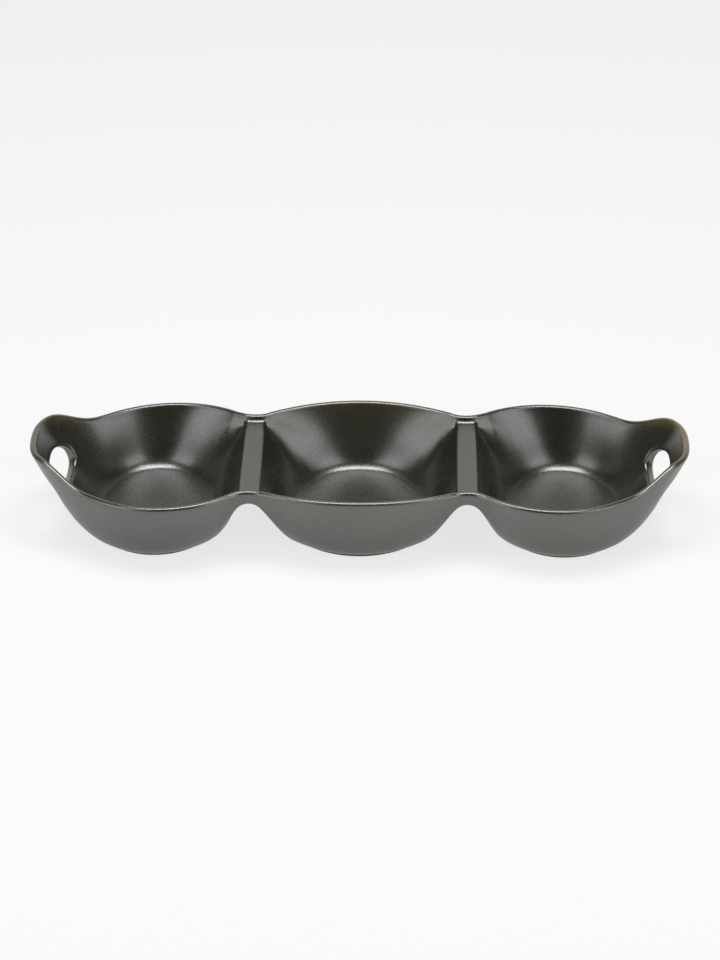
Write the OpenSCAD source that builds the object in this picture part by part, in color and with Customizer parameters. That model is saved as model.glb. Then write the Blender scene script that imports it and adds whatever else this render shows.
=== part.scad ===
// Divided serving bowl in glazed stoneware: a centre bowl between two round end bowls,
// bridged by two arched dividers, lifted by two pierced handles and stood on three bare clay foot rings.
// X runs along the row of bowls, Y across it, Z up from the table at the middle of the dish.

/* [Plan of the rim] */
// Length over the two handle tips
overall_length = 406; // [392:1:450]
// Outside diameter of an end bowl at its rim
end_bowl_d = 136; // [128:1:141]
// How far a handle's tip stands out beyond the round of its end bowl
handle_reach = 16; // [12:0.5:19]
// Outside radius of the rounded handle end
handle_r = 47; // [40:0.5:54]
// How far the handle end swells beyond that round between its tip and its sides
handle_swell = 2; // [0:0.25:3]
// Outside width of the centre bowl at its rim
centre_bowl_w = 132; // [120:1:145]
// Outside radius of the centre bowl's front and back curves
centre_curve_r = 127; // [114:1:140]
// Radius of the hollow curve where two bowls meet
waist_r = 16.5; // [15.5:0.5:20]

/* [Heights] */
// Height of the rim's top in the middle of the dish
rim_h = 49.5; // [46:0.5:54]
// How far the rim falls from the middle to the shoulder before the handle
rim_dip = 4; // [0:0.5:6]
// Height of the handle's top
handle_h = 58; // [54:0.5:64]
// Height of the floor of each compartment above the table
floor_h = 9.5; // [7:0.5:13]
// Height of the bare foot ring under each bowl
foot_h = 3.5; // [2:0.25:5]

/* [Walls] */
// Thickness of the fully rounded lip
lip_t = 4.4; // [3:0.1:6]
// How far the front and back walls of the centre bowl lean out from base to rim
centre_wall_run = 15.5; // [11:0.5:20]
// How far the front and back walls of an end bowl lean out from base to rim
end_wall_run = 17.5; // [13:0.5:22]
// How far the wall under a handle leans out from base to handle tip
handle_wall_run = 32; // [27:0.5:38]
// How far the centre bowl's wall leans out from base to divider
centre_flank_run = 8; // [5:0.5:12]
// How far an end bowl's wall leans out from base to divider
end_flank_run = 7.5; // [5:0.5:11]
// Distance from the edge of the base in to the edge of the flat floor, across the dish
floor_inset_w = 4.5; // [3.5:0.25:7]
// Distance from the edge of the base in to the edge of the flat floor, along the dish
floor_inset_l = 9.5; // [7:0.25:12]
// Distance from the edge of the base in to the foot ring
foot_inset = 5.5; // [4.5:0.25:10]
// Width of the foot ring
foot_w = 5; // [3:0.25:8]

/* [Dividers] */
// Width of a divider across its top
divider_w = 14; // [10:0.5:14.5]
// How far the divider's top lies below the rim's top
divider_drop = 4; // [2.5:0.25:6]
// Radius of the divider's rounded top edges
divider_edge_r = 2.5; // [1:0.25:3.5]
// Thickness of a divider over the crown of the arch below it
divider_t = 6; // [5:0.1:9]
// How far the arch opens beyond the divider on each side
arch_flare = 2; // [1:0.25:3.5]

/* [Handles] */
// Angle that the finger hole spans round the middle of the handle end
hole_span = 75; // [62:1:88]
// Height of the grip above the finger hole
grip_h = 14.75; // [12:0.25:18]
// Height of the finger hole from its lower edge to its upper edge
hole_w = 16; // [12:0.25:18.5]

/* [Hidden] */
glaze = [0.16, 0.16, 0.15];
handle_glaze = [0.21, 0.20, 0.17];
bare_clay = [0.42, 0.32, 0.26];

// Circles that make the plan of the rim
lip_r = lip_t / 2;
bowl_r = end_bowl_d / 2;
end_c = [overall_length / 2 - handle_reach - bowl_r, 0];
centre_c = [0, centre_bowl_w / 2 - centre_curve_r];
handle_c = [overall_length / 2 - handle_r, 0];

// The waist circle touches the centre curve and the end circle from outside
waist_from_centre = centre_curve_r + waist_r;
waist_from_end = bowl_r + waist_r;
centres_apart = norm(end_c - centre_c);
reach_difference = pow(waist_from_centre, 2) - pow(waist_from_end, 2);
waist_along = (centres_apart + reach_difference / centres_apart) / 2;
waist_aside = sqrt(pow(waist_from_centre, 2) - pow(waist_along, 2));
row_dir = (end_c - centre_c) / centres_apart;
waist_c = centre_c + row_dir * waist_along + [-row_dir.y, row_dir.x] * waist_aside;

// Angles at which the rim passes from one circle to the next
centre_end_a = direction(waist_c - centre_c);
bowl_start_a = direction(waist_c - end_c);
waist_centre_a = direction(centre_c - waist_c);
waist_end_a = direction(end_c - waist_c);
line_a = acos((bowl_r - handle_r) / (handle_c.x - end_c.x));
hole_a = hole_span / 2;
hole_h = handle_h - grip_h - hole_w / 2;

// The rim rises to the handle between these angles round the middle of the handle end
lift_start_a = 78;
lift_full_a = 34;

// Heights at a divider: middle of the lip, top, start of its rounded edge, crown of the arch, foot of a side
divider_x = waist_c.x;
waist_h = rim_height([divider_x, waist_c.y]);
divider_top = waist_h + lip_r - divider_drop;
divider_edge = divider_top - divider_edge_r;
arch_r = divider_w / 2 + arch_flare;
arch_h = divider_top - divider_t;
arch_edge = arch_h - arch_r + sqrt(pow(arch_r, 2) - pow(divider_w / 2, 2));

// Base of a bowl: middle, half length and half width
centre_base_l = divider_x - divider_w / 2 - centre_flank_run;
end_base_from = divider_x + divider_w / 2 + end_flank_run;
end_base_to = overall_length / 2 - handle_wall_run;
end_base_l = (end_base_to - end_base_from) / 2;
centre_base = [[0, 0], centre_base_l, centre_bowl_w / 2 - centre_wall_run];
end_base = [[end_base_to - end_base_l, 0], end_base_l, bowl_r - end_wall_run];

// Shape of the wall: rounding at base and floor, pull of the curve along and up, steepest lean of a bowl's wall,
// pull of the curve below a divider, lean at the waist, rounding of the finger hole's ends, start of the handle
// on the way up to the hole
corner_in = 4;
corner_out = 5;
floor_corner_out = 6;
wall_along = 0.28;
wall_up = 0.25;
wall_lean = 0.45;
flank_along = 0.5;
flank_up = 0.45;
waist_lean = 0.28;
arch_in = waist_lean * (waist_h - arch_edge);
sill_in = waist_lean * (waist_h - divider_edge);
hole_roundness = 2.4;
handle_start = 0.79;

// Counts of steps around the rim
hole_n = 10;
handle_n = 13;
line_n = 6;
bowl_n = 15;
waist_n = 5;
centre_n = 10;
chord_n = 8;
foot_n = 96;

// Counts of steps across a divider: over a rounded edge and over the flat top
bridge_edge_n = 4;
bridge_flat_n = 4;

// Rows up the wall: the lip's rows follow the outer wall's, then the inner wall's run back down
wall_n = 10;
lip_n = 5;
last_row = 2 * wall_n + lip_n + 1;
joint_row = 7;
handle_row = 5;
hole_row = 7;

function direction(v) = atan2(v.y, v.x);
function lerp(a, b, t) = a + (b - a) * t;
function ease(t) = let (u = max(0, min(1, t))) u * u * (3 - 2 * u);
function steps(a, b, n) = [for (i = [0:n]) lerp(a, b, i / n)];
function raise(xy, z) = [xy.x, xy.y, z];
function bezier(p, t) =
    p[0] * pow(1 - t, 3) + p[1] * 3 * t * pow(1 - t, 2) + p[2] * 3 * pow(t, 2) * (1 - t) + p[3] * pow(t, 3);
function turned(list) = [for (i = [len(list) - 1:-1:0]) list[i]];
function tail(list) = [for (i = [1:len(list) - 1]) list[i]];

// How far the rim has risen to the handle at a point, from 0 to 1
function handle_lift(xy) =
    let (around = direction([abs(xy.x) - handle_c.x, abs(xy.y)]))
    ease((lift_start_a - around) / (lift_start_a - lift_full_a));

// Height of the lip's middle: level in the centre, falling to the shoulder, rising to the handle
function rim_height(xy) =
    let (shoulder_h = rim_h - rim_dip)
    rim_h - lip_r - rim_dip * ease(abs(xy.x) / handle_c.x) + handle_lift(xy) * (handle_h - shoulder_h);

// One station of the rim: outer and inner edge of the lip, height of the lip's middle, the points below it
// where the wall meets a divider outside and inside, how far the wall bends to that joint, and how far
// the finger hole is open there (below 0 where the wall has no hole)
function station(outer, normal, bend, open) = [
    outer, outer - normal * lip_t, rim_height(outer),
    outer - normal * arch_in, outer - normal * (lip_t + sill_in), bend, open];
function arc_station(c, r, a, side, bend = 0, open = -1) =
    let (dir = [cos(a), sin(a)])
    station(c + dir * r, dir * side, bend, open);
function handle_station(a, open = -1) =
    let (
        turn = 180 * a / line_a,
        r = handle_r + handle_swell * pow(sin(turn), 2),
        growth = handle_swell * sin(2 * turn) * 180 / line_a,
        normal = [r * cos(a) + growth * sin(a), r * sin(a) - growth * cos(a)]
    )
    station(handle_c + r * [cos(a), sin(a)], normal / norm(normal), 0, open);
function waist_station(from_a, to_a, t) = arc_station(waist_c, waist_r, lerp(from_a, to_a, t), -1, ease(t));
function line_station(t) =
    let (dir = [cos(line_a), sin(line_a)])
    station(lerp(handle_c + dir * handle_r, end_c + dir * bowl_r, t), dir, 0, -1);

// The station on a divider's face lies wholly in that face, on circles round the waist's centre
function on_face(side, r) =
    [divider_x + side * divider_w / 2, waist_c.y - sqrt(pow(r, 2) - pow(divider_w / 2, 2))];
function corner_station(side) = [
    on_face(side, waist_r), on_face(side, waist_r + lip_t), waist_h,
    on_face(side, waist_r + arch_in), on_face(side, waist_r + lip_t + sill_in), 1, -1];

// Stations along a divider's face, from back to front between its corners, hold one point of the plan
function chord(corner) =
    let (reach = corner[4].y)
    [for (y = steps(reach, -reach, chord_n)) [[corner[0].x, y]]];

function flip_y(s) = [for (v = s) is_list(v) ? [v.x, -v.y] : v];
function flip_x(s) = [for (v = s) is_list(v) ? [-v.x, v.y] : v];

// Back half of an end bowl's rim, from the handle's tip round to the divider
end_corner = corner_station(1);
end_half = concat(
    [for (i = [0:hole_n])
        let (across = sin(90 * i / hole_n))
        handle_station(hole_a * across, pow(1 - pow(across, hole_roundness), 1 / hole_roundness))],
    [for (a = tail(steps(hole_a, line_a, handle_n - hole_n))) handle_station(a)],
    [for (i = [1:line_n - 1]) line_station(i / line_n)],
    [for (a = steps(line_a, bowl_start_a, bowl_n)) arc_station(end_c, bowl_r, a, 1)],
    [for (i = [1:waist_n - 1]) waist_station(waist_end_a, direction(end_corner[0] - waist_c), i / waist_n)],
    [end_corner]
);
end_ring = concat(end_half, chord(end_corner), turned([for (s = tail(end_half)) flip_y(s)]));
end_ring_n = len(end_ring);

// Back right quarter of the centre bowl's rim, from the divider to the middle
centre_corner = corner_station(-1);
centre_quarter = concat(
    [centre_corner],
    [for (i = [waist_n - 1:-1:1])
        waist_station(waist_centre_a, direction(centre_corner[0] - waist_c), i / waist_n)],
    [for (a = steps(centre_end_a, 90, centre_n)) arc_station(centre_c, centre_curve_r, a, 1)]
);
centre_back = concat(centre_quarter, tail(turned([for (s = centre_quarter) flip_x(s)])));
centre_chord = chord(centre_corner);
centre_ring = concat(
    centre_back,
    [for (s = centre_chord) flip_x(s)],
    turned([for (s = centre_back) flip_y(s)]),
    turned(centre_chord)
);

// Point beside the edge of a base, at an angle or in the direction of a point of the rim
function base_at(base, a, out) = base[0] + [(base[1] + out) * cos(a), (base[2] + out) * sin(a)];
function base_point(base, xy, out) =
    let (v = xy - base[0])
    base_at(base, direction([v.x / base[1], v.y / base[2]]), out);

// Pull of the curve along its run outside: near a divider, where the run is long, the wall stays full and leans
// no further than a bowl's wall does, and it fades to the plain pull towards the handle
function wall_pull(base, xy, z) =
    let (
        run = norm(xy - base_point(base, xy, 0)),
        full = 1 - wall_lean * (1 - wall_up) * (z - foot_h) / run
    )
    lerp(max(wall_along, full), wall_along, ease((abs(xy.x) - divider_x) / (end_c.x - divider_x)));

// Curve of the wall outside, from the foot up to a point, and inside, from the floor up to a point
function outer_curve(base, xy, z, along, up) = [
    raise(base_point(base, xy, -corner_in), foot_h),
    raise(base_point(base, xy, corner_out), foot_h),
    raise(lerp(base_point(base, xy, 0), xy, along), lerp(foot_h, z, up)),
    raise(xy, z)];
function flank_curve(base, xy) = outer_curve(base, xy, arch_edge, flank_along, flank_up);
function inner_curve(base, xy, z) =
    let (floor = [base[0], base[1] - floor_inset_l, base[2] - floor_inset_w])
    [
        raise(base_point(floor, xy, 0), floor_h),
        raise(base_point(floor, xy, floor_corner_out), floor_h),
        raise(lerp(base_point(floor, xy, 0), xy, wall_along), lerp(floor_h, z, wall_up)),
        raise(xy, z)
    ];

// Share of a curve's run at which it reaches a height, found by halving
function share_at(curve, z, low = 0, high = 1, halvings = 16) =
    let (mid = (low + high) / 2)
    halvings == 0 ? mid
    : bezier(curve, mid).z < z ? share_at(curve, z, mid, high, halvings - 1)
    : share_at(curve, z, low, mid, halvings - 1);

// Share of the wall's run at one of its rows: the handle starts part of the way up to the finger hole,
// and beside the hole two rows follow its edges
function hole_edge(base, s, side) =
    share_at(inner_curve(base, s[1], s[2]), hole_h + side * s[6] * hole_w / 2);
handle_share = handle_start * hole_edge(end_base, end_half[0], -1);
function plain_share(row) =
    row <= handle_row ? handle_share * row / handle_row
    : lerp(handle_share, 1, (row - handle_row) / (wall_n - handle_row));
function wall_share(base, s, row) =
    s[6] < 0 || row <= handle_row ? plain_share(row)
    : row <= hole_row
        ? lerp(handle_share, hole_edge(base, s, -1), (row - handle_row) / (hole_row - handle_row))
    : lerp(hole_edge(base, s, 1), 1, (row - hole_row - 1) / (wall_n - hole_row - 1));

// Points of the wall at a station: free wall, wall that ends on a divider's face, and along that face
function lip_point(s, k) =
    let (a = 180 * (k - wall_n) / (lip_n + 1))
    raise(lerp(s[1], s[0], (1 + cos(a)) / 2), s[2] + lip_r * sin(a));
function free_point(base, s, k) =
    let (down = last_row - k)
    k <= wall_n ? bezier(outer_curve(base, s[0], s[2], wall_pull(base, s[0], s[2]), wall_up), wall_share(base, s, k))
    : down <= wall_n ? bezier(inner_curve(base, s[1], s[2]), wall_share(base, s, down))
    : lip_point(s, k);
function joint_point(base, s, k) =
    let (
        down = last_row - k,
        above = wall_n - joint_row
    )
    k <= joint_row ? bezier(flank_curve(base, s[3]), k / joint_row)
    : k <= wall_n ? lerp(raise(s[3], arch_edge), raise(s[0], s[2]), (k - joint_row) / above)
    : down <= joint_row ? bezier(inner_curve(base, s[4], divider_edge), down / joint_row)
    : down <= wall_n ? lerp(raise(s[4], divider_edge), raise(s[1], s[2]), (down - joint_row) / above)
    : lip_point(s, k);
function chord_point(base, xy, k) =
    let (down = last_row - k)
    k <= joint_row ? bezier(flank_curve(base, xy), k / joint_row)
    : down <= joint_row ? bezier(inner_curve(base, xy, divider_edge), down / joint_row)
    : raise(xy, lerp(arch_edge, divider_edge, (k - joint_row) / (last_row - 2 * joint_row)));
function wall_point(base, s, k) =
    len(s) == 1 ? chord_point(base, s[0], k)
    : lerp(free_point(base, s, k), joint_point(base, s, k), s[5]);
function wall_points(base, ring) = [for (s = ring) for (k = [0:last_row]) wall_point(base, s, k)];

// Faces of the wall, as triangles between a station and the next
function index(i, k, n) = (i + n) % n * (last_row + 1) + k;
function quad(a, b, c, d) = [[a, b, c], [a, c, d]];
function backwards(faces) = [for (f = faces) turned(f)];
function skin(i, k, n) =
    quad(index(i, k, n), index(i, k + 1, n), index(i + 1, k + 1, n), index(i + 1, k, n));

// Seat of the handle in an end bowl's wall: the strip below it and the step at each end
function seat_strip() =
    let (down = last_row - handle_row)
    [for (i = [-handle_n:handle_n - 1]) each quad(
        index(i, handle_row, end_ring_n), index(i, down, end_ring_n),
        index(i + 1, down, end_ring_n), index(i + 1, handle_row, end_ring_n))];
function seat_step(i) = [for (k = [handle_row:(last_row - 2) / 2]) each quad(
    index(i, k, end_ring_n), index(i, k + 1, end_ring_n),
    index(i, last_row - k - 1, end_ring_n), index(i, last_row - k, end_ring_n))];
seat = concat(seat_strip(), seat_step(-handle_n), backwards(seat_step(handle_n)));
function in_handle(i, k) =
    (i < handle_n || i >= end_ring_n - handle_n) && k >= handle_row && k < last_row - handle_row;

// Faces of the pierced handle: at each end of the hole its two edges meet in one point
function pierced(i, k) =
    abs(i) == hole_n && k == hole_row + 1 ? index(i, hole_row, end_ring_n)
    : abs(i) == hole_n && k == last_row - hole_row - 1 ? index(i, last_row - hole_row, end_ring_n)
    : index(i, k, end_ring_n);
function pierced_skin(i, k) =
    quad(pierced(i, k), pierced(i, k + 1), pierced(i + 1, k + 1), pierced(i + 1, k));
function in_hole(i, k) =
    i >= -hole_n && i < hole_n && (k == hole_row || k == last_row - hole_row - 1);
function hole_lining(i) = concat(
    quad(pierced(i + 1, hole_row), pierced(i, hole_row),
         pierced(i, last_row - hole_row), pierced(i + 1, last_row - hole_row)),
    quad(pierced(i, hole_row + 1), pierced(i + 1, hole_row + 1),
         pierced(i + 1, last_row - hole_row - 1), pierced(i, last_row - hole_row - 1)));
function whole(faces) = [for (f = faces) if (f[0] != f[1] && f[1] != f[2] && f[2] != f[0]) f];

// Section of a divider at a place across it: from the arch at the back over the waist's lip to the top,
// and the same again at the front
bridge_flat = divider_w / 2 - divider_edge_r;
bridge_edge = [for (a = steps(0, 90, bridge_edge_n)) bridge_flat + divider_edge_r * cos(a)];
bridge_places = concat(
    [for (x = bridge_edge) -x],
    [for (i = [1:bridge_flat_n - 1]) lerp(-bridge_flat, bridge_flat, i / bridge_flat_n)],
    turned(bridge_edge)
);
function waist_y(r, x) = waist_c.y - sqrt(pow(r, 2) - pow(x, 2));
function lean_in(z) = waist_lean * (waist_h - z);
function arch_at(x) = arch_h - arch_r + sqrt(pow(arch_r, 2) - pow(x, 2));
function top_at(x) =
    let (past = max(0, abs(x) - bridge_flat))
    divider_edge + sqrt(max(0, pow(divider_edge_r, 2) - pow(past, 2)));
function half_section(x) =
    let (
        inner = waist_r + lip_t,
        arch_z = arch_at(x),
        top_z = top_at(x)
    )
    concat(
        [[waist_y(waist_r + lean_in(arch_z), x), arch_z]],
        [for (a = steps(0, 180, lip_n + 1))
            [lerp(waist_y(inner, x), waist_y(waist_r, x), (1 + cos(a)) / 2), waist_h + lip_r * sin(a)]],
        [[waist_y(inner + lean_in(top_z), x), top_z]]
    );
half_n = lip_n + 4;
section_n = 2 * half_n;
function bridge_section(x) =
    let (back = half_section(x))
    concat(back, turned([for (p = back) [-p.x, p.y]]));
function section_index(i, j) = i * section_n + j % section_n;
function section_cap(i) = [
    [for (j = [0:half_n - 1]) section_index(i, j)],
    [for (j = [0, half_n - 1, half_n, section_n - 1]) section_index(i, j)],
    [for (j = [half_n:section_n - 1]) section_index(i, j)]];

// One bowl: wall between base and floor, with a seat where a handle goes
module bowl(base, ring, with_handle) {
    n = len(ring);
    walls = [for (i = [0:n - 1]) for (k = [0:last_row - 1])
        if (!with_handle || !in_handle(i, k)) each skin(i, k, n)];
    underside = [for (i = [0:n - 1]) index(i, 0, n)];
    floor = [for (i = [n - 1:-1:0]) index(i, last_row, n)];
    polyhedron(wall_points(base, ring), concat(walls, [underside, floor], with_handle ? seat : []));
}

// Raised end of an end bowl's wall with its finger hole
module pierced_end() {
    walls = [for (i = [-handle_n:handle_n - 1]) for (k = [handle_row:last_row - handle_row - 1])
        if (!in_hole(i, k)) each pierced_skin(i, k)];
    lining = [for (i = [-hole_n:hole_n - 1]) each hole_lining(i)];
    polyhedron(wall_points(end_base, end_ring), whole(concat(walls, lining, backwards(seat))));
}

// Bridge between two bowls: its sections lie side by side across it
module bridge() {
    points = [for (x = bridge_places) for (p = bridge_section(x)) [divider_x + x, p.x, p.y]];
    last = len(bridge_places) - 1;
    sides = [for (i = [0:last - 1]) for (j = [0:section_n - 1]) each quad(
        section_index(i, j), section_index(i + 1, j), section_index(i + 1, j + 1), section_index(i, j + 1))];
    polyhedron(points, concat(sides, section_cap(0), backwards(section_cap(last))));
}

module centre_bowl() {
    color(glaze) bowl(centre_base, centre_ring, false);
}

module end_bowl() {
    color(glaze) bowl(end_base, end_ring, true);
}

module handle() {
    color(handle_glaze) pierced_end();
}

module divider() {
    color(glaze) bridge();
}

module foot_ring(base) {
    angles = [for (i = [1:foot_n]) 360 * i / foot_n];
    color(bare_clay)
        linear_extrude(foot_h)
            difference() {
                polygon([for (a = angles) base_at(base, a, -foot_inset)]);
                polygon([for (a = angles) base_at(base, a, -foot_inset - foot_w)]);
            }
}

module on_left() {
    mirror([1, 0, 0]) children();
}

centre_bowl();
on_left() end_bowl();  // left_bowl
end_bowl();  // right_bowl
on_left() divider();  // left_divider
divider();  // right_divider
on_left() handle();  // left_handle
handle();  // right_handle
foot_ring(centre_base);  // centre_foot_ring
on_left() foot_ring(end_base);  // left_foot_ring
foot_ring(end_base);  // right_foot_ring
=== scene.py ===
from math import acos, atan2, cos, pi, radians, sin, sqrt
import bmesh
import bpy
from mathutils import Matrix, Vector


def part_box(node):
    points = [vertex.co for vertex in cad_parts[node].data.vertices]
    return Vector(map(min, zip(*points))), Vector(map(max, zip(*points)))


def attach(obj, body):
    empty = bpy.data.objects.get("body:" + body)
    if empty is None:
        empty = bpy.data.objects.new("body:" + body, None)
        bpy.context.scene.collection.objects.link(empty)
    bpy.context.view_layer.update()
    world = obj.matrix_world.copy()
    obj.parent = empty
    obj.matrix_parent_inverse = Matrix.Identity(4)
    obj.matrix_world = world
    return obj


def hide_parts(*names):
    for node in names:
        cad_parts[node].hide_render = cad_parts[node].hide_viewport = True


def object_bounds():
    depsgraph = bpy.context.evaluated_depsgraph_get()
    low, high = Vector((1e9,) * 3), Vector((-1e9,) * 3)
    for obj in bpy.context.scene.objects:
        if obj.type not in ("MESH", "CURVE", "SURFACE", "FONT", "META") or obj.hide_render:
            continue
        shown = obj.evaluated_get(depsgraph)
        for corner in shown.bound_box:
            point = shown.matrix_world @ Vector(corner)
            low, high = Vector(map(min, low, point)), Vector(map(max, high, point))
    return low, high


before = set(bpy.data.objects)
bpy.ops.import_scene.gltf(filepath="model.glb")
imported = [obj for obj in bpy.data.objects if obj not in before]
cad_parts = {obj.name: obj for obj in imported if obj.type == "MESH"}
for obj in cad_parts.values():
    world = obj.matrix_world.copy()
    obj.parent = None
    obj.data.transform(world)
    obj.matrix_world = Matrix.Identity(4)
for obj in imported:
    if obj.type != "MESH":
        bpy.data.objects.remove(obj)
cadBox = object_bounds()
scene = bpy.context.scene
scene.view_settings.view_transform = "Standard"


# Small helpers

def lerp(a, b, t):
    return a + (b - a) * t


def ease(t):
    u = max(0.0, min(1.0, t))
    return u * u * (3 - 2 * u)


def direction(v):
    return atan2(v.y, v.x)


def polar(a, r=1.0):
    return Vector((cos(a), sin(a))) * r


def raised(xy, z):
    return Vector((xy.x, xy.y, z))


def bezier(p, t):
    s = 1 - t
    return p[0] * s ** 3 + p[1] * (3 * t * s * s) + p[2] * (3 * t * t * s) + p[3] * t ** 3


def spread(a, b, count):
    return [lerp(a, b, i / count) for i in range(count + 1)]


# Plan and heights of the dish, in metres; the frame gives what its boxes can give
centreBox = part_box("centre_bowl")
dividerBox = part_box("right_divider")
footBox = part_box("centre_foot_ring")

dish = {
    "length": cadBox[1].x - cadBox[0].x,
    "endDiameter": 0.136,
    "handleReach": 0.016,       # tip beyond the round of the end bowl
    "handleRadius": 0.047,
    "handleSwell": 0.0016,      # handle end beyond that round between its tip and its sides
    "centreWidth": centreBox[1].y - centreBox[0].y,
    "centreCurve": 0.127,       # radius of the centre bowl's front and back
    "waistRadius": 0.0165,
    "lip": 0.0044,              # thickness of the rounded lip
    "rimTop": centreBox[1].z,
    "rimDip": 0.004,            # fall of the rim from the middle to the handles
    "handleTop": cadBox[1].z,
    "floor": 0.0095,
    "foot": footBox[1].z,
    "centreWallRun": 0.0155,    # how far each wall leans out from base to rim
    "endWallRun": 0.0175,
    "handleWallRun": 0.032,
    "centreFlankRun": 0.008,    # and from base to divider
    "endFlankRun": 0.0075,
    "floorInsetWide": 0.0045,   # edge of the floor inside the base, across and along the dish
    "floorInsetLong": 0.0095,
    "cornerIn": 0.004,          # rounding where the wall leaves the base
    "cornerOut": 0.005,
    "hollowOut": 0.0071,        # hollow that rises from the edge of the floor
    "hollowUp": 0.0037,
    "hollowReach": 0.0082,
    "innerUp": 0.3,             # where the inner wall's curve is pulled to, as a share of its rise
    "floorDish": 0.0028,        # middle of a floor below its edge
    "floorRings": (1.0, 0.985, 0.94, 0.86, 0.74, 0.58, 0.4, 0.2, 0.05),  # shares of the way out to that edge
    "underBorders": (0.0008, 0.003, 0.008, 0.01),   # widths of the rings that hold an underside flat
    "underReach": 0.001,        # a closing face this little above the foot is an underside
    "wallAlong": 0.28,          # where a wall's curve is pulled to, as a share of its run
    "handleAlongSide": 0.55,    # fuller wall below a handle, outside: beside its hole, then at its tip
    "handleAlongTip": 0.42,
    "handleAlongIn": 0.46,      # and inside
    "handleFrom": 0.128,        # how far out that begins and is complete
    "handleFull": 0.186,
    "wallUp": 0.25,             # where the outer wall's curve is pulled to, as a share of its rise
    "wallLean": 0.45,           # steepest lean of a bowl's wall
    "flankAlong": 0.5,          # the same two shares below a divider
    "flankUp": 0.45,
    "waistLean": 0.28,          # lean of the wall below the lip at a divider, outside and inside
    "sillLean": 0.55,
    "bendReach": 0.022,         # stretch over which the wall inside bends to a divider
    "foldFrom": 0.6,            # share of that bend from which the fold is softened
    "foldColumns": 2,           # columns below a divider that are softened with it
    "foldFactor": 0.5,          # strength of one round of softening
    "foldRounds": 6,
}

dividerShape = {
    "edgeRadius": 0.0035,
    "drop": 0.004,              # top below the rim
    "thickness": 0.006,         # over the crown of the arch
    "archFlare": 0.002,         # radius of the arch beyond half the width
    "endHollow": 0.0052,        # run of the hollow curve up to the lip at each end
    "endCurve": ((0, 0), (0.5, 0), (0.85, 0.4), (1, 1)),    # that curve, as shares of its run and its rise
}

handleShape = {
    "holeSpan": radians(75),
    "grip": 0.01475,            # height of the grip over the hole
    "holeHeight": 0.016,
    "roundness": 2.4,           # 2 makes the hole an oval, more makes it squarer
    "edgeRound": 0.0026,
    "edgeRoundUp": 0.9,         # that rounding above and below the hole, as a share of the one at its ends
    "edgeRoundIn": 0.3,         # how wide the rounding still is where it turns into the hole
    "edgeSink": 0.04,           # and how deep, as a share of the wall
    "skinRings": (0.0, 0.3, 0.58, 0.82, 1.0),   # rings from the border of the raised end in to its hole
    "holeRings": (0.2, 0.5, 0.8),               # rings through the wall
    "start": 0.79,              # where the raised end leaves the wall, as a share of the way to the hole
    "liftStart": radians(78),   # where round the end the rim begins to rise, and where it is full
    "liftFull": radians(34),
}

# Where the glaze runs thin: over the lip, most on the raised ends, and a little in the finger holes
thinGlaze = {
    "lipReach": 0.75,           # share of the lip's rows over which it fades, on either side of the crest
    "lipEdge": 1.25,            # over 1 keeps it whole on the crest
    "liftBelow": 0.006,         # how far below the level rim's top it begins to grow
    "levelShare": 0.06,         # on the level rim
    "holeShare": 0.15,          # in a finger hole
    "holeFromRing": 3,          # ring of the raised end from which that grows, and over how many
    "holeRingSpan": 3,
}

# Steps of the control mesh, before it is smoothed; gather shortens steps towards a divider
steps = {"handle": 12, "line": 5, "bowl": 22, "centre": 15, "chord": 8,
         "wall": 14, "joint": 10, "seat": 6, "lip": 7, "edge": 4, "flat": 2,
         "gather": 1.5, "halvings": 24, "smooth": 2}
mergeDistance = 1e-6
flatSeam = 1e-5                 # a seam that keeps its x this closely is flat

lipRadius = dish["lip"] / 2
bowlRadius = dish["endDiameter"] / 2
endMiddle = Vector((dish["length"] / 2 - dish["handleReach"] - bowlRadius, 0))
centreMiddle = Vector((0, dish["centreWidth"] / 2 - dish["centreCurve"]))
handleMiddle = Vector((dish["length"] / 2 - dish["handleRadius"], 0))

# The waist circle touches the centre curve and the end circle from outside
fromCentre = dish["centreCurve"] + dish["waistRadius"]
fromEnd = bowlRadius + dish["waistRadius"]
between = endMiddle - centreMiddle
alongRow = (between.length + (fromCentre ** 2 - fromEnd ** 2) / between.length) / 2
besideRow = sqrt(fromCentre ** 2 - alongRow ** 2)
rowDir = between.normalized()
waistMiddle = centreMiddle + rowDir * alongRow + Vector((-rowDir.y, rowDir.x)) * besideRow
lineAngle = acos((bowlRadius - dish["handleRadius"]) / (handleMiddle.x - endMiddle.x))


def handleLift(xy):
    # how far the rim has risen to the handle, from 0 to 1
    around = atan2(abs(xy.y), abs(xy.x) - handleMiddle.x)
    return ease((handleShape["liftStart"] - around) / (handleShape["liftStart"] - handleShape["liftFull"]))


def rimHeight(xy):
    shoulder = dish["rimTop"] - dish["rimDip"]
    level = dish["rimTop"] - lipRadius - dish["rimDip"] * ease(abs(xy.x) / handleMiddle.x)
    return level + handleLift(xy) * (dish["handleTop"] - shoulder)


# Divider: faces, top, start of its rounded edge, arch
dividerX = (dividerBox[0].x + dividerBox[1].x) / 2
dividerHalf = (dividerBox[1].x - dividerBox[0].x) / 2
waistHeight = rimHeight(Vector((dividerX, waistMiddle.y)))
dividerTop = waistHeight + lipRadius - dividerShape["drop"]
dividerEdge = dividerTop - dividerShape["edgeRadius"]
archRadius = dividerHalf + dividerShape["archFlare"]
archTop = dividerTop - dividerShape["thickness"]
archEdge = archTop - archRadius + sqrt(archRadius ** 2 - dividerHalf ** 2)
archIn = dish["waistLean"] * (waistHeight - archEdge)
sillIn = dish["sillLean"] * (waistHeight - dividerEdge)

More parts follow.
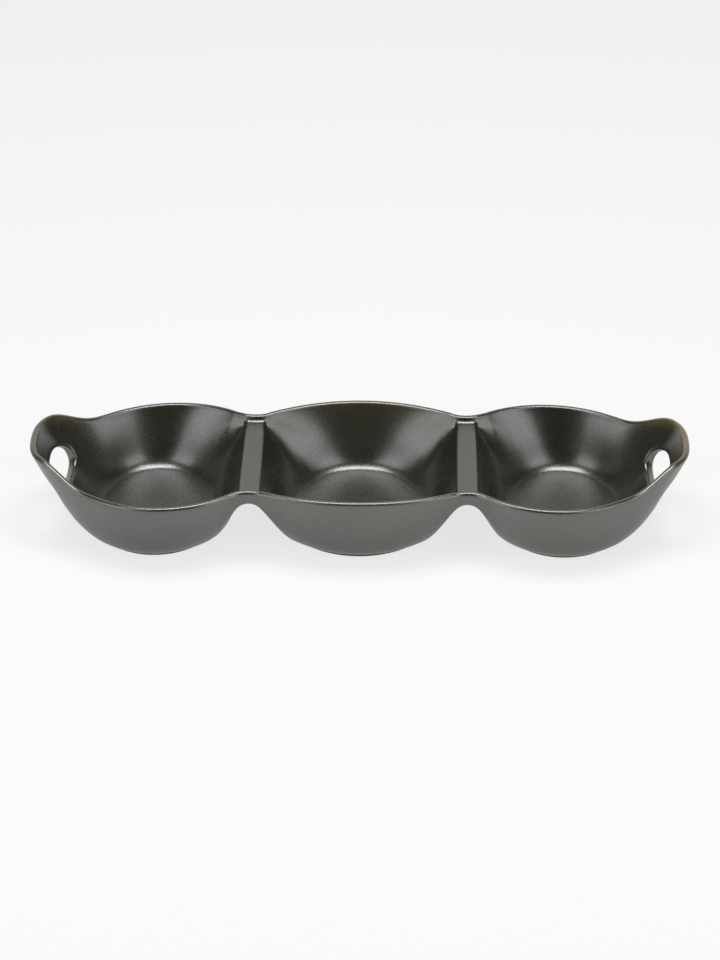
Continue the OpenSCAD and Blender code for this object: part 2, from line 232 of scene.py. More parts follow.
# Bases: middle, half length, half width
centreBase = (Vector((0, 0)), dividerX - dividerHalf - dish["centreFlankRun"],
              dish["centreWidth"] / 2 - dish["centreWallRun"])
endFrom = dividerX + dividerHalf + dish["endFlankRun"]
endTo = dish["length"] / 2 - dish["handleWallRun"]
endBase = (Vector(((endFrom + endTo) / 2, 0)), (endTo - endFrom) / 2, bowlRadius - dish["endWallRun"])
holeMiddle = dish["handleTop"] - handleShape["grip"] - handleShape["holeHeight"] / 2
lastRow = 2 * steps["wall"] + steps["lip"] + 1
crestRow = lastRow / 2


# Stations of the rim: outer and inner edge of the lip, its height,
# and where the wall meets a divider below it

def station(outer, normal):
    return {
        "outer": outer,
        "inner": outer - normal * dish["lip"],
        "z": rimHeight(outer),
        "arch": outer - normal * archIn,
        "sill": outer - normal * (dish["lip"] + sillIn),
        "bendOut": 0.0,
        "bendIn": ease(1 - (abs(outer.x - dividerX) - dividerHalf) / dish["bendReach"]),
    }


def arcStation(middle, radius, a):
    return station(middle + polar(a, radius), polar(a))


def handleStation(a):
    turn = pi * a / lineAngle
    r = dish["handleRadius"] + dish["handleSwell"] * sin(turn) ** 2
    growth = dish["handleSwell"] * sin(2 * turn) * pi / lineAngle
    normal = polar(a, r) + Vector((sin(a), -cos(a))) * growth
    return station(handleMiddle + polar(a, r), normal.normalized())


def waistY(radius, x):
    return waistMiddle.y - sqrt(radius ** 2 - x ** 2)


def cornerStation(side):
    x = dividerX + side * dividerHalf
    reach = dish["waistRadius"]

    def onFace(r):
        return Vector((x, waistY(r, dividerHalf)))

    return {"outer": onFace(reach), "inner": onFace(reach + dish["lip"]), "z": waistHeight,
            "arch": onFace(reach + archIn), "sill": onFace(reach + dish["lip"] + sillIn),
            "bendOut": 1.0, "bendIn": 1.0}


def gathered(a, b, count):
    # steps that get shorter towards the end, which is left out
    return [lerp(a, b, 1 - (1 - i / count) ** steps["gather"]) for i in range(count)]


def endStations():
    lineDir = polar(lineAngle)
    lineStart = handleMiddle + lineDir * dish["handleRadius"]
    lineEnd = endMiddle + lineDir * bowlRadius
    found = [handleStation(lineAngle)]
    found += [station(lerp(lineStart, lineEnd, i / steps["line"]), lineDir)
              for i in range(1, steps["line"])]
    found += [arcStation(endMiddle, bowlRadius, a)
              for a in gathered(lineAngle, direction(waistMiddle - endMiddle), steps["bowl"])]
    return found + [cornerStation(1)]


def centreStations():
    found = [arcStation(centreMiddle, dish["centreCurve"], a)
             for a in gathered(pi / 2, direction(waistMiddle - centreMiddle), steps["centre"])]
    return found + [cornerStation(-1)]


# Curves of the wall: from the foot up outside, from the floor up inside

def basePoint(base, xy, out=0.0):
    v = xy - base[0]
    a = atan2(v.y / base[2], v.x / base[1])
    return base[0] + Vector(((base[1] + out) * cos(a), (base[2] + out) * sin(a)))


def sweptCurve(base, xy, z, along, up):
    foot = dish["foot"]
    return (raised(basePoint(base, xy, -dish["cornerIn"]), foot),
            raised(basePoint(base, xy, dish["cornerOut"]), foot),
            raised(lerp(basePoint(base, xy), xy, along), lerp(foot, z, up)),
            raised(xy, z))


def past(xy, near, far):
    return ease((abs(xy.x) - near) / (far - near))


def outerCurve(base, xy, z):
    # near a divider, where its run is long, the wall stays full
    run = (xy - basePoint(base, xy)).length
    full = 1 - dish["wallLean"] * (1 - dish["wallUp"]) * (z - dish["foot"]) / run
    along = lerp(max(dish["wallAlong"], full), dish["wallAlong"], past(xy, dividerX, endMiddle.x))
    toTip = past(xy, dish["handleFull"], dish["length"] / 2)
    below = lerp(dish["handleAlongSide"], dish["handleAlongTip"], toTip)
    along = lerp(along, below, past(xy, dish["handleFrom"], dish["handleFull"]))
    return sweptCurve(base, xy, z, along, dish["wallUp"])


def flankCurve(base, xy):
    return sweptCurve(base, xy, archEdge, dish["flankAlong"], dish["flankUp"])


def floorPlan(base):
    return base[0], base[1] - dish["floorInsetLong"], base[2] - dish["floorInsetWide"]


def innerCurve(base, xy, z):
    flat = floorPlan(base)
    start = basePoint(flat, xy)
    below = past(xy, dish["handleFrom"], dish["handleFull"])
    along = lerp(dish["wallAlong"], dish["handleAlongIn"], below)
    along = max(along, dish["hollowReach"] / (xy - start).length)
    return (raised(start, dish["floor"]),
            raised(basePoint(flat, xy, dish["hollowOut"]), dish["floor"] + dish["hollowUp"]),
            raised(lerp(start, xy, along), lerp(dish["floor"], z, dish["innerUp"])),
            raised(xy, z))


def shareAt(curve, z):
    low, high = 0.0, 1.0
    for halving in range(steps["halvings"]):
        mid = (low + high) / 2
        if bezier(curve, mid).z < z:
            low = mid
        else:
            high = mid
    return (low + high) / 2


tip = handleStation(0.0)
seatShare = handleShape["start"] * shareAt(innerCurve(endBase, tip["inner"], tip["z"]),
                                           holeMiddle - handleShape["holeHeight"] / 2)


def rowShare(row):
    if row <= steps["seat"]:
        return seatShare * row / steps["seat"]
    return lerp(seatShare, 1.0, (row - steps["seat"]) / (steps["wall"] - steps["seat"]))


def lipPoint(s, row):
    a = pi * (row - steps["wall"]) / (steps["lip"] + 1)
    return raised(lerp(s["inner"], s["outer"], (1 + cos(a)) / 2), s["z"] + lipRadius * sin(a))


def freePoint(base, s, row):
    down = lastRow - row
    if row <= steps["wall"]:
        return bezier(outerCurve(base, s["outer"], s["z"]), rowShare(row))
    if down <= steps["wall"]:
        return bezier(innerCurve(base, s["inner"], s["z"]), rowShare(down))
    return lipPoint(s, row)


def hollowRise(t):
    # from a divider's top up to the inner side of the lip
    return bezier([Vector(p) for p in dividerShape["endCurve"]], t)


def jointPoint(base, s, row):
    down = lastRow - row
    above = steps["wall"] - steps["joint"]
    if row <= steps["joint"]:
        return bezier(flankCurve(base, s["arch"]), row / steps["joint"])
    if row <= steps["wall"]:
        share = (row - steps["joint"]) / above
        return lerp(raised(s["arch"], archEdge), raised(s["outer"], s["z"]), share)
    if down <= steps["joint"]:
        return bezier(innerCurve(base, s["sill"], dividerEdge), down / steps["joint"])
    if down <= steps["wall"]:
        share = (down - steps["joint"]) / above
        return lerp(raised(s["sill"], dividerEdge), raised(s["inner"], s["z"]), share)
    return lipPoint(s, row)


def wallPoint(base, s, row):
    bend = s["bendOut"] if row < crestRow else s["bendIn"]
    return lerp(freePoint(base, s, row), jointPoint(base, s, row), bend)


# One quarter of the casting is laid out in patches, then mirrored twice and smoothed

pieceNames = ["centreBowl", "endBowl", "divider", "handle"]
casting = bmesh.new()
pieceTag = casting.faces.layers.int.new("pieceTag")
softFold = casting.verts.layers.int.new("softFold")
glazeBreak = casting.verts.layers.float.new("glazeBreak")


def patch(piece, columns, rows, pointAt, breakAt=None, foldAt=None):
    made = bmesh.ops.create_grid(casting, x_segments=columns, y_segments=rows, size=1.0)
    for v in made["verts"]:
        i = round((v.co.x + 1) / 2 * columns)
        j = round((v.co.y + 1) / 2 * rows)
        v.co = pointAt(i, j)
        v[glazeBreak] = breakAt(i, j) if breakAt else 0.0
        v[softFold] = int(foldAt(i, j)) if foldAt else 0
    for face in {f for v in made["verts"] for f in v.link_faces}:
        face[pieceTag] = pieceNames.index(piece)


def lipBreak(s, row):
    onLip = ease(thinGlaze["lipEdge"] - abs(row - crestRow) / (steps["lip"] * thinGlaze["lipReach"]))
    lift = ease((s["z"] - dish["rimTop"] + thinGlaze["liftBelow"]) / (dish["handleTop"] - dish["rimTop"]))
    return onLip * lerp(thinGlaze["levelShare"], 1.0, lift)


def layFloor(piece, base, edge):
    # rings from the edge of a floor in to its middle, slightly dished
    shares = dish["floorRings"]

    def floorPoint(i, j):
        xy = lerp(base[0], edge[i].xy, shares[j])
        return raised(xy, dish["floor"] - dish["floorDish"] * (1 - shares[j] ** 2))

    patch(piece, len(edge) - 1, len(shares) - 1, floorPoint)


def layWall(piece, base, stations):
    patch(piece, len(stations) - 1, lastRow,
          lambda i, j: wallPoint(base, stations[i], j), lambda i, j: lipBreak(stations[i], j),
          lambda i, j: stations[i]["bendIn"] > dish["foldFrom"] and 0 < lastRow - j < steps["joint"])
    layFloor(piece, base, [wallPoint(base, s, lastRow) for s in stations])


def layChord(piece, base, corner):
    # side of a bowl under a divider, from the waist to the middle of the dish
    ys = spread(corner["sill"].y, 0.0, steps["chord"])
    x = corner["outer"].x
    archY = corner["arch"].y

    def outside(i, j):
        xy = Vector((x, ys[i] * archY / ys[0]))
        return bezier(flankCurve(base, xy), j / steps["joint"])

    def inside(i, j):
        return bezier(innerCurve(base, Vector((x, ys[i])), dividerEdge), j / steps["joint"])

    patch(piece, steps["chord"], steps["joint"], outside)
    patch(piece, steps["chord"], steps["joint"], inside, None,
          lambda i, j: i < dish["foldColumns"] and 0 < j < steps["joint"])
    layFloor(piece, base, [inside(i, 0) for i in range(steps["chord"] + 1)])


def layDivider():
    flat = dividerHalf - dividerShape["edgeRadius"]
    rounded = [flat + dividerShape["edgeRadius"] * cos(a) for a in spread(0.0, pi / 2, steps["edge"])]
    places = [-x for x in rounded] + [lerp(-flat, flat, i / (2 * steps["flat"]))
                                      for i in range(1, 2 * steps["flat"])] + rounded[::-1]
    above = steps["wall"] - steps["joint"]
    rim = dish["waistRadius"]

    def topZ(x):
        over = max(0.0, abs(x) - flat)
        return dividerEdge + sqrt(max(0.0, dividerShape["edgeRadius"] ** 2 - over ** 2))

    def archZ(x):
        return archTop - archRadius + sqrt(archRadius ** 2 - x ** 2)

    def leanIn(z):
        return dish["waistLean"] * (waistHeight - z)

    def hollowAt(x):
        return ease((dividerHalf - abs(x)) / dividerShape["edgeRadius"])

    def topY(x):
        return waistY(rim + dish["lip"] + lerp(sillIn, dividerShape["endHollow"], hollowAt(x)), x)

    def archY(x):
        return waistY(rim + leanIn(archZ(x)), x)

    def top(i, j):
        x = places[i]
        return Vector((dividerX + x, lerp(topY(x), 0.0, j / steps["chord"]), topZ(x)))

    def under(i, j):
        x = places[i]
        return Vector((dividerX + x, lerp(archY(x), 0.0, j / steps["chord"]), archZ(x)))

    def waist(i, j):
        x = places[i]
        if j <= above:
            y = lerp(archY(x), waistY(rim, x), j / above)
            return Vector((dividerX + x, y, lerp(archZ(x), waistHeight, j / above)))
        if j <= above + steps["lip"] + 1:
            a = pi * (j - above) / (steps["lip"] + 1)
            y = lerp(waistY(rim + dish["lip"], x), waistY(rim, x), (1 + cos(a)) / 2)
            return Vector((dividerX + x, y, waistHeight + lipRadius * sin(a)))
        t = (2 * above + steps["lip"] + 1 - j) / above
        run, rise = (lerp(t, share, hollowAt(x)) for share in hollowRise(t))
        y = lerp(topY(x), waistY(rim + dish["lip"], x), run)
        return Vector((dividerX + x, y, lerp(topZ(x), waistHeight, rise)))

    columns = len(places) - 1
    patch("divider", columns, steps["chord"], top)
    patch("divider", columns, steps["chord"], under)
    patch("divider", columns, 2 * above + steps["lip"] + 1, waist)


def layHandle():
    angles = spread(0.0, lineAngle, steps["handle"])
    stations = [handleStation(a) for a in angles]
    seat, wall = steps["seat"], steps["wall"]
    patch("endBowl", steps["handle"], seat, lambda i, j: freePoint(endBase, stations[i], j))
    patch("endBowl", steps["handle"], seat,
          lambda i, j: freePoint(endBase, stations[i], lastRow - seat + j))
    layFloor("endBowl", endBase, [freePoint(endBase, s, lastRow) for s in stations])
    patch("handle", steps["handle"], steps["lip"] + 1, lambda i, j: lipPoint(stations[i], wall + j),
          lambda i, j: lipBreak(stations[i], wall + j))

    # rings run from the seat, side and lip of the raised end in to its hole, through it and out again
    border = [(a, seatShare) for a in angles]
    border += [(lineAngle, rowShare(row)) for row in range(seat + 1, wall)]
    border += [(a, 1.0) for a in reversed(angles)]
    middleShare = (seatShare + 1) / 2

    def skin(outside, a, share):
        s = handleStation(a)
        if outside:
            return bezier(outerCurve(endBase, s["outer"], s["z"]), share)
        return bezier(innerCurve(endBase, s["inner"], s["z"]), share)

    def holeEdge(spot, out):
        turn = atan2((spot[1] - middleShare) / (1 - middleShare), spot[0] / lineAngle)
        power = 2 / handleShape["roundness"]
        across = max(0.0, cos(turn)) ** power
        upward = abs(sin(turn)) ** power * (1 if sin(turn) > 0 else -1)
        a = (handleShape["holeSpan"] / 2 + out / dish["handleRadius"]) * across
        z = holeMiddle + (handleShape["holeHeight"] / 2 + out * handleShape["edgeRoundUp"]) * upward
        s = handleStation(a)
        return a, shareAt(innerCurve(endBase, s["inner"], s["z"]), z)

    rounding = handleShape["edgeRound"]
    sink = handleShape["edgeSink"]
    inward = handleShape["skinRings"]
    through = handleShape["holeRings"]
    rings = len(inward) + 1
    ringCount = 2 * rings + len(through)

    def ringPoint(i, j):
        spot = border[i]
        outside = j < rings
        k = j if outside else ringCount - 1 - j
        if k < len(inward):
            edge = holeEdge(spot, rounding)
            return skin(outside, lerp(spot[0], edge[0], inward[k]), lerp(spot[1], edge[1], inward[k]))
        edge = holeEdge(spot, rounding * handleShape["edgeRoundIn"])
        near = skin(True, *edge)
        far = skin(False, *edge)
        if k == rings - 1:
            return lerp(near, far, sink if outside else 1 - sink)
        edge = holeEdge(spot, 0.0)
        return lerp(skin(True, *edge), skin(False, *edge), through[j - rings])

    def ringBreak(i, j):
        k = min(j, ringCount - 1 - j)
        if k == 0 and border[i][1] == 1.0:
            return lipBreak(handleStation(border[i][0]), wall)
        return ease((k - thinGlaze["holeFromRing"]) / thinGlaze["holeRingSpan"]) * thinGlaze["holeShare"]

    patch("handle", len(border) - 1, ringCount - 1, ringPoint, ringBreak)


layWall("endBowl", endBase, endStations())
layWall("centreBowl", centreBase, centreStations())
layChord("endBowl", endBase, cornerStation(1))
layChord("centreBowl", centreBase, cornerStation(-1))
layDivider()
layHandle()
bmesh.ops.remove_doubles(casting, verts=casting.verts, dist=mergeDistance)
for axis in ("Y", "X"):
    everything = casting.verts[:] + casting.edges[:] + casting.faces[:]
    bmesh.ops.mirror(casting, geom=everything, axis=axis, merge_dist=mergeDistance)
bmesh.ops.remove_doubles(casting, verts=casting.verts, dist=mergeDistance)

# the folds beside the dividers are soft inside
folds = [v for v in casting.verts if v[softFold]]
for again in range(dish["foldRounds"]):
    bmesh.ops.smooth_vert(casting, verts=folds, factor=dish["foldFactor"],
                          use_axis_x=True, use_axis_y=True, use_axis_z=True)
casting.verts.layers.int.remove(softFold)

# middles of the floors and the undersides close the open rings; narrow borders hold the edges below
openEdges = [e for e in casting.edges if e.is_boundary]
closers = bmesh.ops.holes_fill(casting, edges=openEdges, sides=0)["faces"]
undersides = [f for f in closers if f.calc_center_median().z < dish["foot"] + dish["underReach"]]
closing = [f for f in closers if f not in undersides]
for width in dish["underBorders"]:
    border = bmesh.ops.inset_individual(casting, faces=undersides, thickness=width, use_even_offset=False)
    closing += border["faces"]
closing += bmesh.ops.poke(casting, faces=undersides)["faces"]
for face in closing:
    inCentre = abs(face.calc_center_median().x) < dividerX
    face[pieceTag] = pieceNames.index("centreBowl" if inCentre else "endBowl")
bmesh.ops.recalc_face_normals(casting, faces=casting.faces)
leftOpen = len([e for e in casting.edges if not e.is_manifold])
print("casting laid out:", len(casting.faces), "faces,", len(closers), "rings closed,",
      leftOpen, "open edges")


# The whole casting is smoothed in one go, so that its pieces meet without a line

def smoothed(control):
    mesh = bpy.data.meshes.new("castingControl")
    control.to_mesh(mesh)
    control.free()
    holder = bpy.data.objects.new("castingControl", mesh)
    scene.collection.objects.link(holder)
    finish = holder.modifiers.new("smooth", "SUBSURF")
    finish.levels = finish.render_levels = steps["smooth"]
    graph = bpy.context.evaluated_depsgraph_get()
    fineMesh = bpy.data.meshes.new_from_object(holder.evaluated_get(graph), preserve_all_data_layers=True,
                                               depsgraph=graph)
    bpy.data.objects.remove(holder)
    fine = bmesh.new()
    fine.from_mesh(fineMesh)
    return fine


casting = smoothed(casting)
glazeNormal = casting.verts.layers.float_vector.new("glazeNormal")
casting.normal_update()
for v in casting.verts:
    v[glazeNormal] = v.normal
print("casting smoothed:", len(casting.faces), "faces")


def openLoops(mesh):
    # closed chains of vertices round each opening, kept in order so that each run gives the same
    waiting = dict.fromkeys(e for e in mesh.edges if e.is_boundary)
    loops = []
    while waiting:
        edge = next(iter(waiting))
        del waiting[edge]
        chain = [edge.verts[0], edge.verts[1]]
        while chain[-1] != chain[0]:
            edge = next(e for e in chain[-1].link_edges if e in waiting)
            del waiting[edge]
            chain.append(edge.other_vert(chain[-1]))
        loops.append(chain[:-1])
    return loops


def closeSeam(mesh, chain):
    # flat seams take one face; the seam round a handle is zipped from lip to lip
    if max(v.co.x for v in chain) - min(v.co.x for v in chain) < flatSeam:
        return [mesh.faces.new(chain)]
    start = max((v for v in chain if v.co.y > 0), key=lambda v: v.co.z)
    at = chain.index(start)
    chain = chain[at:] + chain[:at]
    back = [chain[0]] + chain[:0:-1]
    half = len(chain) // 2
    made = []
    for k in range(half):
        corners = [chain[k], chain[k + 1], back[k + 1], back[k]]
        made.append(mesh.faces.new(list(dict.fromkeys(corners))))
    return made


def castingPiece(name, node, tag, side=0):
    piece = casting.copy()
    layer = piece.faces.layers.int["pieceTag"]
    rest = [f for f in piece.faces
            if f[layer] != pieceNames.index(tag) or f.calc_center_median().x * side < 0]
    bmesh.ops.delete(piece, geom=rest, context="FACES")
    caps = []
    for chain in openLoops(piece):
        caps += closeSeam(piece, chain)
    for face in piece.faces:
        face.smooth = True
        face[layer] = 0
    for face in caps:
        face[layer] = 1
    bmesh.ops.recalc_face_normals(piece, faces=caps)
    mesh = bpy.data.meshes.new(name)
    piece.to_mesh(mesh)
    piece.free()
    # the glazed skin keeps the normals of the whole casting
    onSkin = mesh.attributes["glazeNormal"].data
    isCap = mesh.attributes["pieceTag"].data
    normals = []
    for face in mesh.polygons:
        flat = face.normal.copy()
        for k in face.vertices:
            normals.append(flat if isCap[face.index].value else onSkin[k].vector.copy())
    mesh.normals_split_custom_set(normals)
    mesh.attributes.remove(mesh.attributes["glazeNormal"])
    mesh.attributes.remove(mesh.attributes["pieceTag"])
    obj = bpy.data.objects.new(name, mesh)
    scene.collection.objects.link(obj)
    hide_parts(node)
    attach(obj, "root")
    return obj


glazed = [castingPiece("centreBowl", "centre_bowl", "centreBowl")]
for word, side in (("left", -1), ("right", 1)):
    glazed.append(castingPiece(word + "Bowl", word + "_bowl", "endBowl", side))
    glazed.append(castingPiece(word + "Divider", word + "_divider", "divider", side))
    glazed.append(castingPiece(word + "Handle", word + "_handle", "handle", side))
casting.free()
print("glazed pieces:", [(o.name, len(o.data.polygons)) for o in glazed])

# Bare foot rings
ringShape = {"width": 0.005, "edge": 0.0007, "edgeSegments": 3, "sharp": radians(60), "segments": 128}


def footRing(name, node):
    low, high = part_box(node)
    size = high - low
    ring = bmesh.new()
    bmesh.ops.create_circle(ring, segments=ringShape["segments"], radius=0.5)
    bmesh.ops.scale(ring, vec=(size.x, size.y, 1), verts=ring.verts)
    inner = bmesh.ops.extrude_edge_only(ring, edges=ring.edges[:])["geom"]
    innerVerts = [g for g in inner if isinstance(g, bmesh.types.BMVert)]
    narrow = (1 - 2 * ringShape["width"] / size.x, 1 - 2 * ringShape["width"] / size.y, 1)
    bmesh.ops.scale(ring, vec=narrow, verts=innerVerts)
    upper = bmesh.ops.extrude_face_region(ring, geom=ring.faces[:])["geom"]
    upperVerts = [g for g in upper if isinstance(g, bmesh.types.BMVert)]
    bmesh.ops.translate(ring, vec=(0, 0, size.z), verts=upperVerts)
    bmesh.ops.recalc_face_normals(ring, faces=ring.faces)
    corners = [e for e in ring.edges if e.calc_face_angle(0.0) > ringShape["sharp"]]
    bmesh.ops.bevel(ring, geom=corners, offset=ringShape["edge"], segments=ringShape["edgeSegments"],
                    profile=0.5, affect="EDGES", material=-1)
    bmesh.ops.translate(ring, vec=((low.x + high.x) / 2, (low.y + high.y) / 2, low.z), verts=ring.verts)
    mesh = bpy.data.meshes.new(name)
    ring.to_mesh(mesh)
    ring.free()
    mesh.shade_smooth()
    obj = bpy.data.objects.new(name, mesh)
    scene.collection.objects.link(obj)
    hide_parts(node)
    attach(obj, "root")
    return obj


rings = [footRing(word + "FootRing", word + "_foot_ring") for word in ("centre", "left", "right")]
print("foot rings:", len(rings))


# Materials

def socketTable(group, inputs, outputs):
    for label, kind in inputs:
        group.interface.new_socket(name=label, in_out="INPUT", socket_type=kind)
    for label in outputs:
        group.interface.new_socket(name=label, in_out="OUTPUT", socket_type="NodeSocketFloat")


def noise(tree, vector, scale, detail, roughness):
    node = tree.nodes.new("ShaderNodeTexNoise")
    node.inputs["Detail"].default_value = detail
    node.inputs["Roughness"].default_value = roughness
    tree.links.new(vector, node.inputs["Vector"])
    tree.links.new(scale, node.inputs["Scale"])
    return node.outputs["Fac"]


def ranged(tree, value, low, high, toLow=0.0, toHigh=1.0):
    node = tree.nodes.new("ShaderNodeMapRange")
    node.interpolation_type = "SMOOTHSTEP"
    for label, number in (("From Min", low), ("From Max", high), ("To Min", toLow), ("To Max", toHigh)):
        node.inputs[label].default_value = number
    tree.links.new(value, node.inputs["Value"])
    return node.outputs["Result"]


def feed(tree, value, socket):
    # a node's output is linked, a number or a colour is set
    if hasattr(value, "is_linked"):
        tree.links.new(value, socket)
    elif isinstance(value, tuple):
        socket.default_value = (*value, 1)
    else:
        socket.default_value = value


def calc(tree, how, a, b):
    node = tree.nodes.new("ShaderNodeMath")
    node.operation = how
    feed(tree, a, node.inputs[0])
    feed(tree, b, node.inputs[1])
    return node.outputs[0]


def mixed(tree, amount, a, b):
    node = tree.nodes.new("ShaderNodeMix")
    node.data_type = "RGBA"
    feed(tree, amount, node.inputs[0])
    feed(tree, a, node.inputs[6])
    feed(tree, b, node.inputs[7])
    return node.outputs[2]


firedLook = {
    "cloudDetail": 4.0,
    "cloudRoughness": 0.55,
    "cloudRange": (0.3, 0.7),
    "grainDetail": 4.0,
    "grainRoughness": 0.6,
    "grainRange": (0.3, 0.7),
    "speckDetail": 1.0,
    "speckRoughness": 0.55,
    "speckRange": (0.68, 0.76),
}


def firedSurface():
    # slow clouds, fine grain and scattered specks of a fired surface
    group = bpy.data.node_groups.new("firedSurface", "ShaderNodeTree")
    socketTable(group, (("Vector", "NodeSocketVector"), ("Cloud Scale", "NodeSocketFloat"),
                        ("Grain Scale", "NodeSocketFloat"), ("Speck Scale", "NodeSocketFloat")),
                ("Cloud", "Grain", "Specks"))
    source = group.nodes.new("NodeGroupInput")
    result = group.nodes.new("NodeGroupOutput")
    vector = source.outputs["Vector"]

    def layer(word):
        scale = source.outputs[word.capitalize() + " Scale"]
        return noise(group, vector, scale, firedLook[word + "Detail"], firedLook[word + "Roughness"])

    group.links.new(ranged(group, layer("cloud"), *firedLook["cloudRange"]), result.inputs["Cloud"])
    group.links.new(layer("grain"), result.inputs["Grain"])
    group.links.new(ranged(group, layer("speck"), *firedLook["speckRange"]), result.inputs["Specks"])
    return group


fired = firedSurface()


def newMaterial(name, values):
    material = bpy.data.materials.new(name)
    material.use_nodes = True
    tree = material.node_tree
    shader = tree.nodes["Principled BSDF"]
    place = tree.nodes.new("ShaderNodeTexCoord")
    surface = tree.nodes.new("ShaderNodeGroup")
    surface.node_tree = fired
    tree.links.new(place.outputs["Object"], surface.inputs["Vector"])
    for label in ("Cloud Scale", "Grain Scale", "Speck Scale"):
        surface.inputs[label].default_value = values[label]
    shader.inputs["IOR"].default_value = values["ior"]
    bump = tree.nodes.new("ShaderNodeBump")
    bump.inputs["Strength"].default_value = values["bump"]
    bump.inputs["Distance"].default_value = values["bumpDepth"]
    tree.links.new(bump.outputs["Normal"], shader.inputs["Normal"])
    return material, tree, shader, surface, bump


def roughened(tree, grain, values):
    return ranged(tree, grain, *firedLook["grainRange"], values["smoothest"], values["roughest"])


glazeLook = {
    "black": (0.0125, 0.0123, 0.0066),
    "olive": (0.02, 0.0192, 0.009),      # cast of the clouds in it
    "thin": (0.115, 0.087, 0.022),       # where the glaze runs thin over an edge
    "speck": (0.06, 0.055, 0.045),
    "speckShare": 0.2,                   # how much a speck shows, and how much it stands up
    "speckRelief": 0.2,
    "thinClouds": (0.1, 0.9),            # clouds between which the thin glaze shows least and most
    "thinLeast": 0.35,
    "thinMost": 0.9,
    "ior": 2.1,
    "roughest": 0.31,
    "smoothest": 0.26,
    "bump": 0.014,
    "bumpDepth": 0.0004,
    "Cloud Scale": 22.0,
    "Grain Scale": 420.0,
    "Speck Scale": 1100.0,
}


def blackGlaze():
    material, tree, shader, surface, bump = newMaterial("satinBlackGlaze", glazeLook)
    cloud, grain, specks = (surface.outputs[k] for k in ("Cloud", "Grain", "Specks"))
    edge = tree.nodes.new("ShaderNodeAttribute")
    edge.attribute_name = "glazeBreak"
    body = mixed(tree, cloud, glazeLook["black"], glazeLook["olive"])
    body = mixed(tree, calc(tree, "MULTIPLY", specks, glazeLook["speckShare"]), body, glazeLook["speck"])
    shows = ranged(tree, cloud, *glazeLook["thinClouds"], glazeLook["thinLeast"], glazeLook["thinMost"])
    thin = calc(tree, "MULTIPLY", edge.outputs["Fac"], shows)
    tree.links.new(mixed(tree, thin, body, glazeLook["thin"]), shader.inputs["Base Color"])
    tree.links.new(roughened(tree, grain, glazeLook), shader.inputs["Roughness"])
    relief = calc(tree, "MULTIPLY", specks, glazeLook["speckRelief"])
    tree.links.new(calc(tree, "ADD", grain, relief), bump.inputs["Height"])
    return material


clayLook = {
    "light": (0.24, 0.15, 0.098),
    "dark": (0.13, 0.078, 0.05),
    "speck": (0.06, 0.042, 0.032),
    "ior": 1.45,
    "roughest": 0.95,
    "smoothest": 0.75,
    "bump": 0.5,
    "bumpDepth": 0.0006,
    "Cloud Scale": 60.0,
    "Grain Scale": 900.0,
    "Speck Scale": 1600.0,
}


def bareClay():
    material, tree, shader, surface, bump = newMaterial("bareBrownClay", clayLook)
    cloud, grain, specks = (surface.outputs[k] for k in ("Cloud", "Grain", "Specks"))
    body = mixed(tree, cloud, clayLook["dark"], clayLook["light"])
    tree.links.new(mixed(tree, specks, body, clayLook["speck"]), shader.inputs["Base Color"])
    tree.links.new(roughened(tree, grain, clayLook), shader.inputs["Roughness"])
    tree.links.new(grain, bump.inputs["Height"])
    return material


glazeMaterial = blackGlaze()
for piece in glazed:
    piece.data.materials.append(glazeMaterial)
clayMaterial = bareClay()
for ring in rings:
    ring.data.materials.append(clayMaterial)
print("materials:", [m.name for m in bpy.data.materials if m.users])

# Studio: pale floor, two wide soft lamps in front, one above, a white room behind
studio = {
    "floorSize": 12.0,
    "floorSquares": 8,
    "floorColor": (0.86, 0.86, 0.86),
    "floorRoughness": 0.9,
    "floorGlow": 0.75,           # share of the floor that shows as plain white, direct and in the glaze
    "floorGlowInGlaze": 0.6,
    "sideAngle": 54.0,           # degrees round from the front, and up
    "sideHeight": 25.0,
    "sideDistance": 1.7,
    "sideSize": (1.1, 1.5),
    "sidePower": 9.6,
    "sideTarget": (0, 0, 0.03),
    "topPlace": (0, -0.03, 1.5),
    "topTarget": (0, 0, 0),
    "topSize": (1.2, 0.6),
    "topPower": 17.5,
    "roomDark": 0.03,            # the room in front of the dish and behind it, as the glaze mirrors it
    "roomBright": 0.8,
    "roomTurn": (0.35, 0.85),    # how far back it begins to brighten and is full
    "roomFill": 0.05,            # its soft light on all sides
}


def lightPath(tree):
    path = tree.nodes.new("ShaderNodeLightPath")
    seen = calc(tree, "MAXIMUM", path.outputs["Is Camera Ray"], path.outputs["Is Transmission Ray"])
    return path, seen


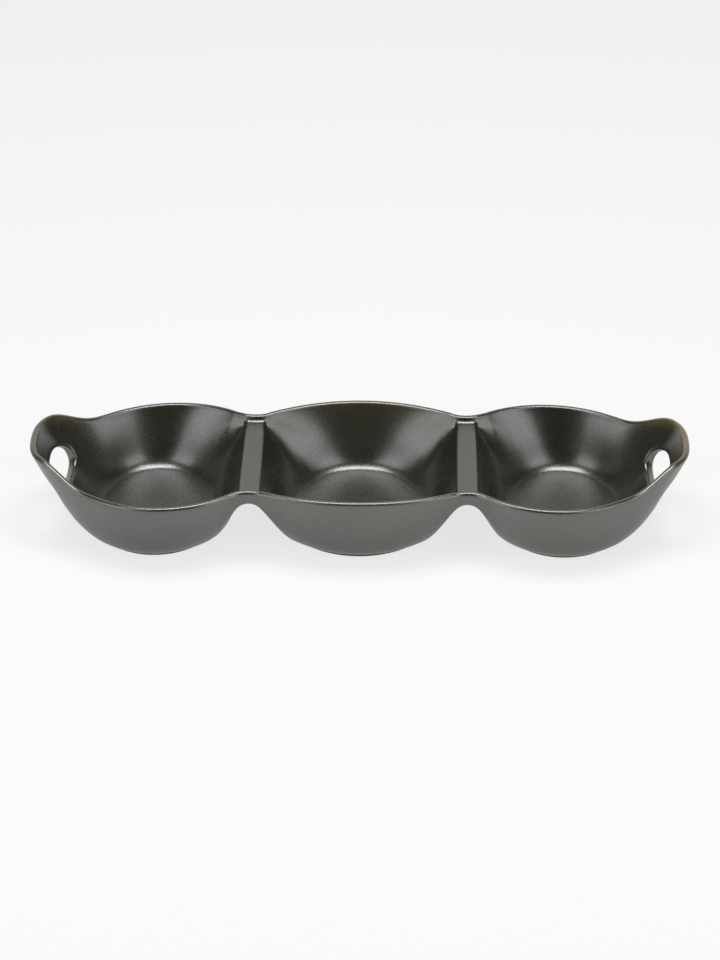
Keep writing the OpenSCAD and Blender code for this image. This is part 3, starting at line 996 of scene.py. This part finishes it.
def studioFloor():
    ground = bmesh.new()
    bmesh.ops.create_grid(ground, x_segments=studio["floorSquares"], y_segments=studio["floorSquares"],
                          size=studio["floorSize"] / 2)
    mesh = bpy.data.meshes.new("studioFloor")
    ground.to_mesh(mesh)
    ground.free()
    obj = bpy.data.objects.new("studioFloor", mesh)
    scene.collection.objects.link(obj)
    material = bpy.data.materials.new("paleFloor")
    material.use_nodes = True
    tree = material.node_tree
    shader = tree.nodes["Principled BSDF"]
    shader.inputs["Base Color"].default_value = (*studio["floorColor"], 1)
    shader.inputs["Roughness"].default_value = studio["floorRoughness"]
    shader.inputs["Specular IOR Level"].default_value = 0.0
    path, seen = lightPath(tree)
    inGlaze = calc(tree, "MULTIPLY", path.outputs["Is Glossy Ray"], studio["floorGlowInGlaze"])
    glow = tree.nodes.new("ShaderNodeEmission")
    blend = tree.nodes.new("ShaderNodeMixShader")
    shown = calc(tree, "MAXIMUM", calc(tree, "MULTIPLY", seen, studio["floorGlow"]), inGlaze)
    tree.links.new(shown, blend.inputs[0])
    tree.links.new(shader.outputs[0], blend.inputs[1])
    tree.links.new(glow.outputs[0], blend.inputs[2])
    tree.links.new(blend.outputs[0], tree.nodes["Material Output"].inputs["Surface"])
    mesh.materials.append(material)


def lamp(name, place, target, size, power):
    data = bpy.data.lights.new(name, "AREA")
    data.shape = "RECTANGLE"
    data.size, data.size_y = size
    data.energy = power
    obj = bpy.data.objects.new(name, data)
    obj.location = place
    obj.rotation_euler = (Vector(target) - Vector(place)).to_track_quat("-Z", "Y").to_euler()
    obj.visible_camera = False
    scene.collection.objects.link(obj)


def studioRoom():
    world = bpy.data.worlds.new("studioRoom")
    scene.world = world
    world.use_nodes = True
    tree = world.node_tree
    back = tree.nodes["Background"]
    path, seen = lightPath(tree)
    where = tree.nodes.new("ShaderNodeTexCoord")
    split = tree.nodes.new("ShaderNodeSeparateXYZ")
    tree.links.new(where.outputs["Generated"], split.inputs[0])
    behind = ranged(tree, split.outputs["Y"], *studio["roomTurn"], studio["roomDark"], studio["roomBright"])
    inGlaze = calc(tree, "MULTIPLY", behind, path.outputs["Is Glossy Ray"])
    shown = calc(tree, "MAXIMUM", seen, inGlaze)
    fill = calc(tree, "MULTIPLY", path.outputs["Is Diffuse Ray"], studio["roomFill"])
    tree.links.new(calc(tree, "MAXIMUM", shown, fill), back.inputs["Strength"])
    back.inputs["Color"].default_value = (1, 1, 1, 1)


studioFloor()
for name, side in (("leftSoftLamp", -1), ("rightSoftLamp", 1)):
    turn = radians(studio["sideAngle"]) * side
    climb = radians(studio["sideHeight"])
    place = Vector((sin(turn) * cos(climb), -cos(turn) * cos(climb), sin(climb))) * studio["sideDistance"]
    lamp(name, place, studio["sideTarget"], studio["sideSize"], studio["sidePower"])
lamp("topSoftLamp", studio["topPlace"], studio["topTarget"], studio["topSize"], studio["topPower"])
studioRoom()
print("studio lit")

# Camera at the photograph's angle
shot = {
    "elevation": 30.0,
    "yaw": 1.2,
    "roll": 0.25,
    "distance": 2.0,
    "target": (0.0003, 0.0, 0.0283),
    "lens": 120.86,
    "sensor": 36.0,
}


def placeCamera():
    data = bpy.data.cameras.new("shotCamera")
    data.lens = shot["lens"]
    data.sensor_width = shot["sensor"]
    climb, turn, roll = (radians(shot[k]) for k in ("elevation", "yaw", "roll"))
    level = Vector((-sin(turn), cos(turn), 0))
    forward = level * cos(climb) - Vector((0, 0, sin(climb)))
    right = Vector((cos(turn), sin(turn), 0))
    up = level * sin(climb) + Vector((0, 0, cos(climb)))
    tilted = right * cos(roll) - up * sin(roll)
    upright = up * cos(roll) + right * sin(roll)
    place = Matrix((tilted, upright, -forward)).transposed().to_4x4()
    place.translation = Vector(shot["target"]) - forward * shot["distance"]
    obj = bpy.data.objects.new("shotCamera", data)
    obj.matrix_world = place
    scene.collection.objects.link(obj)
    scene.camera = obj


placeCamera()
